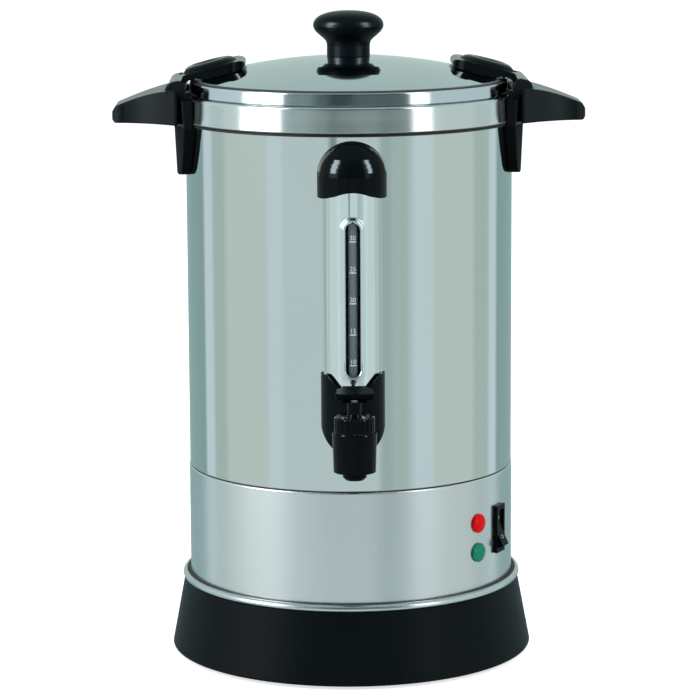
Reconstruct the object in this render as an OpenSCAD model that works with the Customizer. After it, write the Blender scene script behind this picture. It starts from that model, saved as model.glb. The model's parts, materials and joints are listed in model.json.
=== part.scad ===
// Thirty-cup coffee urn: percolator brew set, sight gauge, self-closing tap,
// lid held by two hinged latches. Millimetres, +Z up, front (tap) towards -Y,
// origin on the urn's axis in the plane that the feet stand on.

/* [Vessel] */
// Outer diameter of the polished vessel
vessel_d = 216; // [196:1:240]
// Height of the vessel from its seam to its rim
vessel_h = 247; // [215:1:290]
// Thickness of the vessel, band, floor and lid sheet
sheet = 1; // [0.8:0.1:1.3]
// Height of the stainless collar round the rim
collar_h = 17.2; // [14:0.2:22]
// Thickness of the collar
collar_t = 0.8; // [0.6:0.1:1]
// How much wider the collar is at its foot than at its rim, on the radius
collar_lean = 0.4; // [0:0.1:0.8]
// Height of the bead under the collar
bead_h = 1.5; // [1:0.1:2.5]
// Diameter of the heating well in the vessel floor
well_d = 46; // [40:1:54]
// Depth of the heating well
well_depth = 12; // [8:0.5:16]

/* [Base] */
// Height of the moulded base above the feet
base_h = 47.4; // [38:0.2:56]
// How far the base flares outwards from its top to its foot
base_flare = 8.4; // [3:0.2:12]
// Wall of the base moulding
base_wall = 3; // [2.4:0.1:4]
// Height of the gap between the base moulding and the table
foot_h = 2.2; // [1.6:0.1:4]
// Height of the trim ring above the base
ring_h = 4.7; // [3.5:0.1:6]
// How far the trim ring stands out from the lower band
ring_proud = 5.2; // [3.5:0.1:6]
// Visible height of the satin lower band
band_h = 73.2; // [66:0.5:90]
// Diameter of the supply cord that the gland takes
cord_d = 7.5; // [6:0.1:8.5]

/* [Lid] */
// Rise of the lid's dome above its own rim
dome_rise = 16; // [12:0.5:22]
// Height of the lid's skirt
skirt_h = 8.6; // [6.5:0.1:11]
// How much wider the skirt is at its foot than at its top, on the radius
skirt_lean = 0.3; // [0:0.1:0.6]
// Rounding between the dome and the skirt
lid_round = 2.2; // [1.4:0.1:3.5]
// Depth of the locating flange that drops into the vessel
flange_depth = 8.3; // [6:0.1:10]
// Diameter of the lid knob
knob_d = 46.6; // [38:0.2:54]
// Height of the lid knob
knob_h = 29.3; // [25:0.1:36]
// Diameter of the knob's stem
knob_stem_d = 29.4; // [24:0.2:32]

/* [Handles and latches] */
// Reach of each handle from the vessel wall
handle_reach = 47.9; // [40:0.1:58]
// How far each handle runs on past its hinge ears
handle_shoulder = 4; // [3:0.2:8]
// Width of each handle at its tip
handle_tip_w = 35; // [28:1:44]
// Length of the leg below the rim
leg_drop = 51; // [45:0.5:62]
// Wall of the handle moulding
handle_wall = 3.4; // [2.8:0.1:4]
// Width of each latch
latch_w = 56; // [48:1:60]
// Length of each latch from its pin to its tip
latch_len = 46; // [42:0.2:52]
// Diameter of the latch pins
pin_d = 4; // [3:0.1:4.6]

/* [Gauge] */
// Width of the chromed gauge shield
shield_w = 37.2; // [34:0.2:39]
// Outer diameter of the gauge glass
glass_d = 9; // [8:0.1:10]
// Width of the sight slot
slot_w = 9.5; // [8:0.1:11]
// Height of the slot's lower end above the seam
slot_z0 = 77.3; // [74:0.5:82]
// Distance from the slot's upper end to the gauge cap
slot_gap = 14.4; // [10:0.2:20]
// Width of the gauge cap
cap_w = 44.5; // [43:0.5:48]
// Height of the gauge cap's straight part
cap_skirt_h = 14; // [10:0.5:18]
// Distance from the bead under the collar to the top of the gauge cap
cap_gap = 1.75; // [1:0.25:6]
// Height of the arch in the gauge cap's lower edge
cap_arch = 4.8; // [0:0.2:7]

/* [Tap] */
// Reach of the tap's axis from the vessel wall
tap_reach = 45; // [42:0.5:55]
// Height of the tap's shank above the seam
shank_z = 39.5; // [38:0.5:44]
// Diameter of the tap body
tap_d = 28; // [26:0.5:30]
// Diameter of the shank that carries the tap
shank_d = 14; // [12:0.5:14]
// Width of the lever's paddle
lever_w = 24; // [18:0.5:28]
// Length of the lever in front of its pin
lever_len = 34; // [26:0.5:42]

/* [Controls] */
// Bearing of the signal lamps, clockwise from the tap as seen from above
lamp_az = 49.2; // [42:0.2:51]
// Bearing of the rocker switch
switch_az = 62.8; // [60:0.2:72]
// Diameter of the signal lamps
lamp_d = 12.6; // [11:0.1:14]

/* [Brew set] */
// Diameter of the coffee basket
basket_d = 132; // [110:1:150]
// Height of the coffee basket
basket_h = 58; // [45:1:70]
// Outer diameter of the pump tube
pump_d = 10; // [8:0.2:12]

/* [Hidden] */

// Fits
run_fit = 0.05;      // radial clearance of a turning or sliding pin
slip_fit = 0.1;      // radial clearance between pushed-together shells
seat_gap = 0.3;      // gap between curved surfaces that rest on each other
fine = 96;           // facets asked of a large round
small = 40;          // facets asked of a small round

// Levels
vr = vessel_d / 2;
ring_z = foot_h + base_h;
band_r = vr + 0.4;
ring_r = band_r + ring_proud;
base_top_r = ring_r - 1;
base_r = base_top_r + base_flare;
seam_z = ring_z + ring_h + band_h;
rim_z = seam_z + vessel_h;
collar_r = vr + slip_fit + collar_t;
collar_foot_r = collar_r + collar_lean;
collar_foot = rim_z - collar_h;
bead_z = collar_foot - bead_h;
mouth_r = vr - 4;                    // free radius of the vessel's mouth
plate_z = foot_h + 2;                // underside of the base plate
plate_t = 2;
ledge_r = vr - 14;                   // inner edge of the base's top ledge

// Base details
foot_d = 18;
foot_ring = base_r - 19;
screw_ring = base_r - 17;
screw_d = 4;
boss_d = 9;
gland_z = foot_h + 22.8;
gland_pad_y = base_r - 2.2;
gland_neck_d = cord_d + 4.5;
rod_d = 6;
bracket_z = seam_z - well_depth - 9;
bracket_t = 1.5;
bracket_r = well_d / 2 + 11;
heater_tube_d = 7;
warm_t = 2.6;
warm_in = bracket_r + 5;
warm_out = vr - 34;
fuse_d = 4;
fuse_len = 12;
vent_w = 3;
vent_len = 18;
vent_r = foot_ring - 18;
block_w = 34;
block_d = 14;
block_h = 13;
block_y = 46;

// Lid levels
lid_z = rim_z + 0.2;
skirt_r = vr - 2.5;
skirt_top_r = skirt_r - skirt_lean;
dome_z0 = lid_z + skirt_h;
apex_z = dome_z0 + dome_rise;
dome_r = (skirt_r * skirt_r + dome_rise * dome_rise) / (2 * dome_rise);
round_r = skirt_top_r - lid_round;   // centre of the rounding at the lid's edge
round_z = apex_z - dome_r + sqrt(pow(dome_r - lid_round, 2) - pow(round_r, 2));
round_a = acos(round_r / (dome_r - lid_round));
flange_r = mouth_r - 0.5;
knob_hole_d = 4.2;

// Handle and latch places, for the handle on the +X side
hug_r = vr + 0.15;
latch_side = 0.4;                    // play at each side of a latch
ear_w = 7.6;
handle_w = latch_w + 2 * (latch_side + ear_w + handle_shoulder);
pivot_x = vr + 6;
pivot_z = rim_z + 5.8;
tip_x = vr + handle_reach;
leg_z = rim_z - leg_drop;
wing_z = rim_z - 17.2;
wing_tip_h = 10;
knuckle_r = 5.2;
pocket_r = 6.9;
brow_r = 4.6;
brow_in = 2.4;
brow_up = 1.2;
pin_back = latch_w / 2 + latch_side + ear_w - 0.6;
pin_front = pin_back - 1.4;
handle_screw_zs = [rim_z - 40, rim_z - 25];
handle_screw_tip = vr + 5;

// Gauge places
shield_r = shield_w / 2 + 0.4;
shield_y = -(vr - 5);              // axis of the shield's half-round
shield_t = 0.9;
shield_z0 = seam_z + 63;
slot_z = seam_z + slot_z0;
cap_r = cap_w / 2;
cap_y = shield_y - 0.4;
cap_round_z = bead_z - cap_gap - cap_r;
cap_z0 = cap_round_z - cap_skirt_h;
slot_len = cap_z0 - slot_gap - slot_z;
shield_z1 = cap_round_z + 2.7;
glass_z1 = shield_z1 + 6;
seal_t = 1.4;
socket_r = glass_d / 2 + seal_t;
glass_y = -(vr + 1 + socket_r);
cap_screw_z = cap_round_z + 15.5;

// Tap places
tap_y = -(vr + tap_reach);
shank_axis = seam_z + shank_z;
flow_d = 7.5;
port_top = shank_axis + 17;
glass_z0 = shank_axis + 9.5;
tap_r = tap_d / 2;
tap_top = seam_z + 48.3;
tap_bottom = seam_z + 23.6;
nozzle_d = 15;
nozzle_h = 5.2;
outlet_d = 9;
chamber_d = 18;
seat_z = shank_axis - 3.2;
bonnet_r = 12.7;
shank_y = tap_y + bonnet_r + 0.4;    // front end of the shank, in the body's socket
shank_end = -vr + 10;
shank_seat = 6.4;
shank_wall = 1.8;
bonnet_z0 = tap_top - 1.4;
bonnet_h = 12;
neck_d = 8.8;
neck_top = bonnet_z0 + 20.7;
stem_d = 4.8;
lever_pin_z = neck_top + 5.5;
heel_h = 5.2;
lever_pin_d = 3;
flute_n = 20;
shroud_wall = 1.6;
shroud_r = shield_r + shroud_wall;
shroud_inner = shield_r + 0.2;
shroud_y = shield_y - 1;
shroud_z0 = seam_z + 26.6;
shroud_z1 = seam_z + 78.4;
vee_depth = 11;
nut_t = 5;
washer_t = 2;
washer_d = 21;
washer_y = 0.15 - sqrt(pow(vr - sheet, 2) - pow(washer_d / 2, 2));  // its rim meets the inner wall

// Control places
control_r = band_r;
red_z = seam_z - 29.2;
green_z = seam_z - 48.7;
switch_z = seam_z - 37.2;
bezel_h = 31.7;
bezel_w = 12.5;
bezel_proud = 2;
housing_depth = 21;
rocker_r = 13;
rocker_w = 8.6;
rocker_pivot = control_r - 1;
rocker_tilt = 12;
trunnion_d = 2.6;

// Brew set levels
well_r = well_d / 2;
well_z = seam_z - well_depth;        // underside of the well
pump_r = pump_d / 2;
basket_z = rim_z - 84;
basket_r = basket_d / 2;
pump_top = rim_z + 3;
basket_tube_r = pump_r + 1.6;

// Points of an arc, from angle a0 to a1
function arc(cx, cy, r, a0, a1, n = 8) =
    [for (i = [0:n]) let (a = a0 + (a1 - a0) * i / n) [cx + r * cos(a), cy + r * sin(a)]];
// Height of the lid's outer surface at a radius
function dome_at(r) = apex_z - dome_r + sqrt(dome_r * dome_r - r * r);

// A child drawn at the front (-Y) is carried round to a bearing
module at_bearing(a) { rotate([0, 0, a]) children(); }
// A cylinder along Y, from y0 to y1, at height z
module y_rod(d, y0, y1, z, x = 0) {
    translate([x, y1, z]) rotate([90, 0, 0]) cylinder(d = d, h = y1 - y0, $fn = small);
}
// A cylinder along X, from x0 to x1
module x_rod(d, x0, x1, y, z) {
    translate([x0, y, z]) rotate([0, 90, 0]) cylinder(d = d, h = x1 - x0, $fn = small);
}
// A tube along Z
module z_tube(r1, r0, z0, z1, f = fine) {
    difference() {
        translate([0, 0, z0]) cylinder(r = r1, h = z1 - z0, $fn = f);
        translate([0, 0, z0 - 1]) cylinder(r = r0, h = z1 - z0 + 2, $fn = f);
    }
}
// A revolved outline of [radius, height] points
module turned(points, f = fine) { rotate_extrude($fn = f) polygon(points); }
// Everything under the lid's dome out to a radius, raised by a gap
dome_steps = 14;
module under_dome(gap, r_out) {
    turned(concat([for (i = [0 : dome_steps]) let (r = r_out * i / dome_steps) [r, dome_at(r) + gap]],
        [[r_out, dome_z0 - 30], [0, dome_z0 - 30]]));
}

// ---- Base ----

base_screw_as = [22.5, 112.5, 202.5, 292.5];
foot_as = [67.5, 157.5, 247.5, 337.5];

module base_shell() {
    color([0.09, 0.10, 0.11]) difference() {
        union() {
            turned(concat(
                arc(base_r - 2.2, foot_h + 2.2, 2.2, -80, -8, 5),
                arc(base_top_r - 1, ring_z - 1, 1, 8, 90, 4),
                [[ledge_r, ring_z], [ledge_r, ring_z - base_wall],
                 [base_top_r - base_wall, ring_z - base_wall],
                 [base_r - base_wall, plate_z + plate_t + 0.2], [base_r - base_wall, foot_h]]));
            for (a = base_screw_as) at_bearing(a) translate([0, -screw_ring, plate_z + plate_t])
                cylinder(d = boss_d, h = ring_z - base_wall - plate_z - plate_t + 1, $fn = small);
            intersection() {
                y_rod(gland_neck_d + 7, base_top_r - 8, gland_pad_y, gland_z);
                translate([0, 0, foot_h + 1]) cylinder(r = base_r + 5, h = base_h, $fn = fine);
            }
        }
        for (a = base_screw_as) at_bearing(a) translate([0, -screw_ring, plate_z])
            cylinder(d = screw_d - 0.8, h = 18, $fn = small);
        y_rod(gland_neck_d + 2 * slip_fit, base_top_r - 12, base_r + 5, gland_z);
    }
}

vent_n = 18;
module base_plate() {
    color([0.16, 0.17, 0.18]) difference() {
        translate([0, 0, plate_z])
            cylinder(r = base_r - base_wall - slip_fit - 0.2, h = plate_t, $fn = fine);
        for (a = base_screw_as) at_bearing(a) translate([0, -screw_ring, plate_z - 1])
            cylinder(d = screw_d + 0.4, h = plate_t + 2, $fn = small);
        for (a = foot_as) at_bearing(a) translate([0, -foot_ring, plate_z - 1])
            cylinder(d = 6.2, h = plate_t + 2, $fn = small);
        translate([0, 0, plate_z - 1]) cylinder(d = rod_d + 0.6, h = plate_t + 2, $fn = small);
        for (i = [0 : vent_n - 1]) at_bearing(i * 360 / vent_n)
            translate([-vent_w / 2, -vent_r, plate_z - 1]) cube([vent_w, vent_len, plate_t + 2]);
    }
}

module feet() {
    color([0.05, 0.05, 0.055]) for (a = foot_as) at_bearing(a) translate([0, -foot_ring, 0])
        union() {
            turned([[0, 0], [foot_d / 2 - 1.6, 0], [foot_d / 2 - 0.8, 0.6], [foot_d / 2, plate_z],
                [3, plate_z], [3, plate_z + plate_t], [3.8, plate_z + plate_t],
                [2.2, plate_z + plate_t + 3], [0, plate_z + plate_t + 3]], small);
        }
}

module base_screws() {
    color("silver") for (a = base_screw_as) at_bearing(a)
        translate([0, -screw_ring, plate_z - 1.9])
            turned([[0, 0], [2.6, 0], [3.6, 0.8], [3.6, 1.9], [1.55, 1.9], [1.55, 15], [0, 16]], small);
}

module trim_ring() {
    bead = ring_h / 2;
    color([0.72, 0.74, 0.75]) turned(concat(
        [[band_r + slip_fit, ring_z + ring_h], [band_r + slip_fit, ring_z]],
        arc(ring_r - bead, ring_z + bead, bead, -90, 90, 12)));
}

module lower_band() {
    color([0.70, 0.72, 0.73]) difference() {
        union() {
            turned(concat(
                [[band_r - sheet, ring_z], [band_r, ring_z]],
                arc(band_r - 1.1, seam_z - 1.1, 1.1, 0, 90, 5),
                [[ledge_r + 6, seam_z], [ledge_r + 6, seam_z - sheet], [band_r - sheet, seam_z - sheet]]));
        }
        at_bearing(lamp_az) {
            y_rod(lamp_d - 2.2, -control_r - 2, -control_r + 6, red_z);
            y_rod(lamp_d - 2.2, -control_r - 2, -control_r + 6, green_z);
        }
        at_bearing(switch_az)
            translate([-(bezel_w - 1.6) / 2, -control_r - 2, switch_z - (bezel_h - 3.2) / 2])
                cube([bezel_w - 1.6, 9, bezel_h - 3.2]);
    }
}

module cord_gland() {
    bore = cord_d / 2;
    neck = gland_neck_d / 2;
    color([0.07, 0.07, 0.08]) translate([0, gland_pad_y, gland_z]) rotate([-90, 0, 0])
        turned([[bore, -13], [neck, -13], [neck, 0], [neck + 2.6, 0], [neck + 2.6, 1.2],
            [neck + 1.8, 2.2], [bore, 2.2]], small);
}

module terminal_block() {
    color([0.86, 0.85, 0.80]) difference() {
        translate([-block_w / 2, block_y, plate_z + plate_t]) cube([block_w, block_d, block_h]);
        for (k = [-1.5 : 1.5]) {
            x = k * (block_w - 2) / 4;
            translate([x, block_y + block_d / 2, plate_z + plate_t + 6])
                cylinder(d = 4.4, h = block_h, $fn = small);
            y_rod(3.4, block_y - 1, block_y + block_d + 1, plate_z + plate_t + 4, x);
        }
    }
}

// ---- Heating ----

module heater_bracket() {
    color("silver") difference() {
        union() {
            translate([0, 0, bracket_z]) cylinder(r = bracket_r, h = bracket_t, $fn = fine);
            for (a = [0, 120, 240]) at_bearing(a)
                translate([-6, -bracket_r, bracket_z]) cube([12, bracket_t, seam_z - bracket_z]);
        }
        translate([0, 0, bracket_z - 1]) cylinder(d = rod_d + 0.4, h = bracket_t + 2, $fn = small);
    }
}

module tie_bolt() {
    color("silver") {
        translate([0, 0, plate_z - 2.6]) cylinder(d = 11, h = 2.6, $fn = 6);
        translate([0, 0, plate_z]) cylinder(d = rod_d, h = bracket_z + bracket_t + 6 - plate_z, $fn = small);
        difference() {
            translate([0, 0, bracket_z + bracket_t]) cylinder(d = 11, h = 4.6, $fn = 6);
            translate([0, 0, bracket_z]) cylinder(d = rod_d, h = 12, $fn = small);
        }
    }
}

module main_heater() {
    ring = well_r + 0.3 + heater_tube_d / 2;
    z = seam_z - 0.4 - heater_tube_d / 2;
    color([0.45, 0.45, 0.46]) {
        translate([0, 0, z]) rotate([0, 0, 110]) rotate_extrude(angle = 320, $fn = fine)
            translate([ring, 0]) circle(d = heater_tube_d, $fn = 24);
        for (a = [110, 70]) rotate([0, 0, a]) translate([ring, 0, z]) {
            rotate([a == 110 ? 90 : -90, 0, 0]) translate([0, 0, -1])
                cylinder(d = heater_tube_d - 1.6, h = 5, $fn = 24);
        }
    }
}

module warm_heater() {
    color([0.75, 0.70, 0.55]) difference() {
        z_tube(warm_out, warm_in, seam_z - warm_t, seam_z);
        translate([-5, -vr, seam_z - warm_t - 1]) cube([10, vr - 20, warm_t + 2]);
    }
}

module thermostat() {
    color([0.80, 0.80, 0.78]) translate([0, 14.5, 0]) {
        translate([0, 0, bracket_z + bracket_t])
            cylinder(d = 14, h = well_z - bracket_z - bracket_t, $fn = small);
        for (x = [-4.5, 1.5]) translate([x, 6.8, bracket_z + bracket_t + 2]) cube([3, 5, 0.8]);
    }
}

module thermal_fuse() {
    color([0.82, 0.70, 0.40])
        x_rod(fuse_d, -fuse_len / 2, fuse_len / 2, (warm_in + warm_out) / 2,
            seam_z - warm_t - fuse_d / 2 - run_fit);
}

// ---- Vessel ----

module vessel_shell() {
    color([0.75, 0.77, 0.78]) difference() {
        turned(concat(
            [[vr - sheet, rim_z - collar_t - 0.1], [vr - sheet, seam_z]],
            arc(vr - 0.7, seam_z + 0.7, 0.7, -90, 0, 4),
            [[vr, rim_z - collar_t - 0.1]]));
        y_rod(shank_d + 0.4, -vr - 4, -vr + 8, shank_axis);
        y_rod(screw_d + 0.4, -vr - 4, -vr + 8, cap_screw_z);
        for (s = [-1, 1]) for (z = handle_screw_zs)
            x_rod(screw_d + 0.4, s * vr - 6, s * vr + 6, 0, z);
    }
}

module vessel_floor() {
    rim = vr - sheet - slip_fit;
    color([0.72, 0.74, 0.75]) turned([
        [0, well_z], [well_r, well_z], [well_r, seam_z], [rim, seam_z], [rim, seam_z + 9],
        [rim - sheet, seam_z + 9], [rim - sheet, seam_z + sheet], [well_r - sheet, seam_z + sheet],
        [well_r - sheet, well_z + sheet], [0, well_z + sheet]]);
}

module rim_collar() {
    inner = vr + slip_fit;
    color([0.76, 0.78, 0.79]) turned(concat(
        [[inner, bead_z]], arc(inner + 0.15, bead_z + bead_h / 2, bead_h / 2, -90, 90, 6),
        arc(collar_foot_r - 0.5, collar_foot + 0.5, 0.5, -90, 0, 3),
        arc(collar_r - 1.6, rim_z - 1.6, 1.6, 0, 90, 6),
        [[mouth_r + 0.6, rim_z], [mouth_r, rim_z - 0.6], [mouth_r, rim_z - 4],
         [mouth_r + collar_t, rim_z - 4], [mouth_r + collar_t, rim_z - collar_t],
         [inner, rim_z - collar_t]]));
}

// ---- Sight gauge ----

module half_round_clear() {
    translate([0, 0, seam_z - 10]) cylinder(r = vr + slip_fit, h = vessel_h + 20, $fn = fine);
}

// Rounded slot outline along Y, of a width and between two heights
module slot_prism(w, z0, z1, y0, y1) {
    translate([0, y1, 0]) rotate([90, 0, 0]) linear_extrude(y1 - y0) union() {
        translate([0, z0 + w / 2]) circle(d = w, $fn = small);
        translate([0, z1 - w / 2]) circle(d = w, $fn = small);
        translate([-w / 2, z0 + w / 2]) square([w, z1 - z0 - w]);
    }
}

module gauge_shield() {
    y_front = shield_y - shield_r - 3;
    lip = 3.2;
    color([0.80, 0.82, 0.83]) difference() {
        union() {
            translate([0, shield_y, 0]) z_tube(shield_r, shield_r - shield_t, shield_z0, shield_z1);
            intersection() {
                translate([0, shield_y, 0])
                    z_tube(shield_r + 0.7, shield_r - shield_t, slot_z - 6, slot_z + slot_len + 6);
                slot_prism(slot_w + 2 * lip, slot_z - lip, slot_z + slot_len + lip, y_front, -vr - 5);
            }
        }
        slot_prism(slot_w, slot_z, slot_z + slot_len, y_front, -vr - 5);
        half_round_clear();
    }
}

module gauge_glass() {
    color([0.75, 0.80, 0.82, 0.5]) translate([0, glass_y, 0])
        z_tube(glass_d / 2, glass_d / 2 - 1.3, glass_z0, glass_z1, small);
}

arch_n = 8;
module gauge_cap() {
    hollow_r = shield_r + 0.4;
    color([0.06, 0.07, 0.08]) difference() {
        translate([0, cap_y, 0]) turned(concat([[0, cap_z0], [cap_r - 0.4, cap_z0], [cap_r, cap_z0 + 0.6]],
            arc(0, cap_round_z, cap_r, 0, 90, 12)));
        translate([0, shield_y, cap_z0 - 1])
            cylinder(r = hollow_r, h = shield_z1 + 0.4 - cap_z0 + 1, $fn = fine);
        translate([0, glass_y, shield_z1 - 1])
            cylinder(r = socket_r, h = glass_z1 + 1.5 - shield_z1, $fn = small);
        y_rod(screw_d - 0.6, -vr - 6, -vr + 6, cap_screw_z);
        translate([0, -vr + 10, cap_z0]) rotate([90, 0, 0]) linear_extrude(2 * cap_r) polygon(concat(
            [for (i = [-arch_n : arch_n]) let (x = cap_r * i / arch_n)
                [x, cap_arch / 2 * (1 + cos(180 * x / cap_r))]],
            [[cap_r + 1, -1], [-cap_r - 1, -1]]));
        half_round_clear();
    }
}

module gauge_top_seal() {
    color([0.85, 0.85, 0.83]) translate([0, glass_y, 0])
        z_tube(glass_d / 2 + seal_t - slip_fit, glass_d / 2 + slip_fit, shield_z1 - 0.5, glass_z1, small);
}

module gauge_bottom_seal() {
    color([0.85, 0.85, 0.83]) translate([0, glass_y, 0])
        z_tube(glass_d / 2 + seal_t - slip_fit, glass_d / 2 + slip_fit, glass_z0, port_top - 0.4, small);
}

// ---- Tap ----

module tap_shroud() {
    y0 = shroud_y - shroud_r - 1;
    depth = -vr + 12 - y0;
    bottom_r = shroud_r + 0.2;
    color([0.07, 0.08, 0.09]) difference() {
        intersection() {
            difference() {
                translate([0, shroud_y, shroud_z0])
                    cylinder(r = shroud_r, h = shroud_z1 - shroud_z0, $fn = fine);
                translate([0, shield_y, shroud_z0 - 1])
                    cylinder(r = shroud_inner, h = shroud_z1 - shroud_z0 + 2, $fn = fine);
            }
            translate([0, y0 + depth, 0]) rotate([90, 0, 0]) linear_extrude(depth) union() {
                translate([0, shroud_z0 + bottom_r]) circle(r = bottom_r, $fn = fine);
                polygon([[-bottom_r, shroud_z0 + bottom_r], [bottom_r, shroud_z0 + bottom_r],
                    [bottom_r, shroud_z1], [shroud_r - 4, shroud_z1],
                    [6, shroud_z1 - vee_depth], [-6, shroud_z1 - vee_depth],
                    [4 - shroud_r, shroud_z1], [-bottom_r, shroud_z1]]);
            }
        }
        y_rod(shank_d + 2, y0 - 1, shroud_y, shank_axis);
        half_round_clear();
    }
}

module tap_body() {
    color([0.10, 0.11, 0.12]) difference() {
        union() {
            translate([0, tap_y, tap_bottom])
                cylinder(r1 = tap_r - 0.7, r2 = tap_r, h = tap_top - tap_bottom, $fn = fine);
            translate([0, tap_y, 0]) turned([[0, tap_bottom - nozzle_h],
                [nozzle_d / 2 - 1.6, tap_bottom - nozzle_h], [nozzle_d / 2, tap_bottom - nozzle_h + 1.6],
                [nozzle_d / 2, tap_bottom + 1], [0, tap_bottom + 1]], small);
            y_rod(shank_d + 2 * (slip_fit + shank_wall), tap_y, shank_y + shank_seat, shank_axis);
        }
        translate([0, tap_y, seat_z]) cylinder(d = chamber_d, h = 40, $fn = small);
        translate([0, tap_y, bonnet_z0]) cylinder(r = bonnet_r + slip_fit, h = 10, $fn = fine);
        translate([0, tap_y, tap_bottom - nozzle_h - 1]) cylinder(d = outlet_d, h = 40, $fn = small);
        y_rod(flow_d, tap_y, shank_y + 1, shank_axis);
        y_rod(shank_d + 2 * slip_fit, shank_y - run_fit, shank_y + shank_seat + 1, shank_axis);
    }
}

// Shank through the vessel's wall, with the port that the gauge glass stands in
module tap_shank() {
    color([0.10, 0.11, 0.12]) difference() {
        union() {
            y_rod(shank_d, shank_y, shank_end, shank_axis);
            intersection() {
                translate([0, glass_y, shank_axis])
                    cylinder(r = socket_r + shank_wall, h = port_top - shank_axis, $fn = small);
                translate([0, shield_y, shank_axis - 1])
                    cylinder(r = shroud_inner - 0.2, h = port_top - shank_axis + 2, $fn = fine);
            }
        }
        y_rod(flow_d, shank_y - 1, shank_end + 1, shank_axis);
        translate([0, glass_y, glass_z0]) cylinder(r = socket_r, h = 30, $fn = small);
        translate([0, glass_y, shank_axis]) cylinder(d = 5, h = 20, $fn = small);
        difference() {
            translate([0, 0, shank_axis - 20]) cylinder(r = vr + 0.1, h = 60, $fn = fine);
            y_rod(shank_d, -vr - 5, -vr + 20, shank_axis);
        }
    }
}

module tap_washer() {
    color([0.80, 0.80, 0.78]) difference() {
        y_rod(washer_d, washer_y, washer_y + washer_t, shank_axis);
        y_rod(shank_d + 2 * slip_fit, -vr - 9, -vr + 12, shank_axis);
    }
}

module tap_nut() {
    y0 = washer_y + washer_t + 0.02;
    color("silver") difference() {
        translate([0, y0 + nut_t, shank_axis]) rotate([90, 0, 0]) cylinder(d = 25, h = nut_t, $fn = 6);
        y_rod(shank_d + 2 * slip_fit, y0 - 1, y0 + nut_t + 1, shank_axis);
    }
}

module tap_bonnet() {
    color([0.09, 0.10, 0.11]) translate([0, tap_y, 0]) difference() {
        turned([[chamber_d / 2 - 0.6, bonnet_z0], [bonnet_r, bonnet_z0], [bonnet_r, bonnet_z0 + bonnet_h - 1],
            [bonnet_r - 1, bonnet_z0 + bonnet_h], [neck_d / 2, bonnet_z0 + bonnet_h + 0.6],
            [neck_d / 2, neck_top], [stem_d / 2 + run_fit, neck_top],
            [stem_d / 2 + run_fit, bonnet_z0 + bonnet_h - 3],
            [chamber_d / 2 - 0.6, bonnet_z0 + bonnet_h - 3]]);
        for (i = [0 : flute_n - 1]) rotate([0, 0, i * 360 / flute_n])
            translate([bonnet_r + 0.5, 0, bonnet_z0 + 2]) cylinder(d = 2.2, h = bonnet_h, $fn = 16);
    }
}

stem_disc_z = seat_z + 4;
module tap_stem() {
    tongue = stem_d / 2 + 0.2;
    color([0.80, 0.80, 0.78]) translate([0, tap_y, 0]) difference() {
        union() {
            turned([[0, seat_z + 2.4], [3, seat_z + 2.4], [3, stem_disc_z], [6.4, stem_disc_z],
                [6.4, stem_disc_z + 1.6], [stem_d / 2, stem_disc_z + 1.6], [stem_d / 2, lever_pin_z],
                [0, lever_pin_z]], small);
            x_rod(2 * tongue, -stem_d / 2, stem_d / 2, 0, lever_pin_z);
        }
        x_rod(lever_pin_d + 2 * run_fit, -6, 6, 0, lever_pin_z);
    }
}

module tap_seat_seal() {
    color([0.75, 0.30, 0.25]) translate([0, tap_y, 0])
        turned([[0, seat_z + 0.05], [6.6, seat_z + 0.05], [6.6, seat_z + 3.6], [3 + slip_fit, seat_z + 3.6],
            [3 + slip_fit, seat_z + 2.3], [0, seat_z + 2.3]], small);
}

// Spring wire swept round a helix
spring_r = 5;
wire_r = 0.5;
spring_turns = 4;
spring_steps = 14;
spring_z0 = stem_disc_z + 1.6 + wire_r + 0.05;
spring_z1 = bonnet_z0 + bonnet_h - 3 - wire_r - 0.05;
wire_sides = 6;
module tap_spring() {
    n = spring_turns * spring_steps;
    rings = [for (i = [0:n]) let (a = i * 360 / spring_steps, z = spring_z0 + (spring_z1 - spring_z0) * i / n)
        for (k = [0 : wire_sides - 1]) let (b = k * 360 / wire_sides, r = spring_r + wire_r * cos(b))
            [r * cos(a), r * sin(a), z + wire_r * sin(b)]];
    sides = [for (i = [0 : n - 1]) for (k = [0 : wire_sides - 1]) let (j = (k + 1) % wire_sides)
        [i * wire_sides + k, (i + 1) * wire_sides + k, (i + 1) * wire_sides + j, i * wire_sides + j]];
    ends = [[for (k = [0 : wire_sides - 1]) k], [for (k = [wire_sides - 1 : -1 : 0]) n * wire_sides + k]];
    color([0.70, 0.71, 0.72]) translate([0, tap_y, 0])
        polyhedron(points = rings, faces = concat(sides, ends));
}

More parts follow.
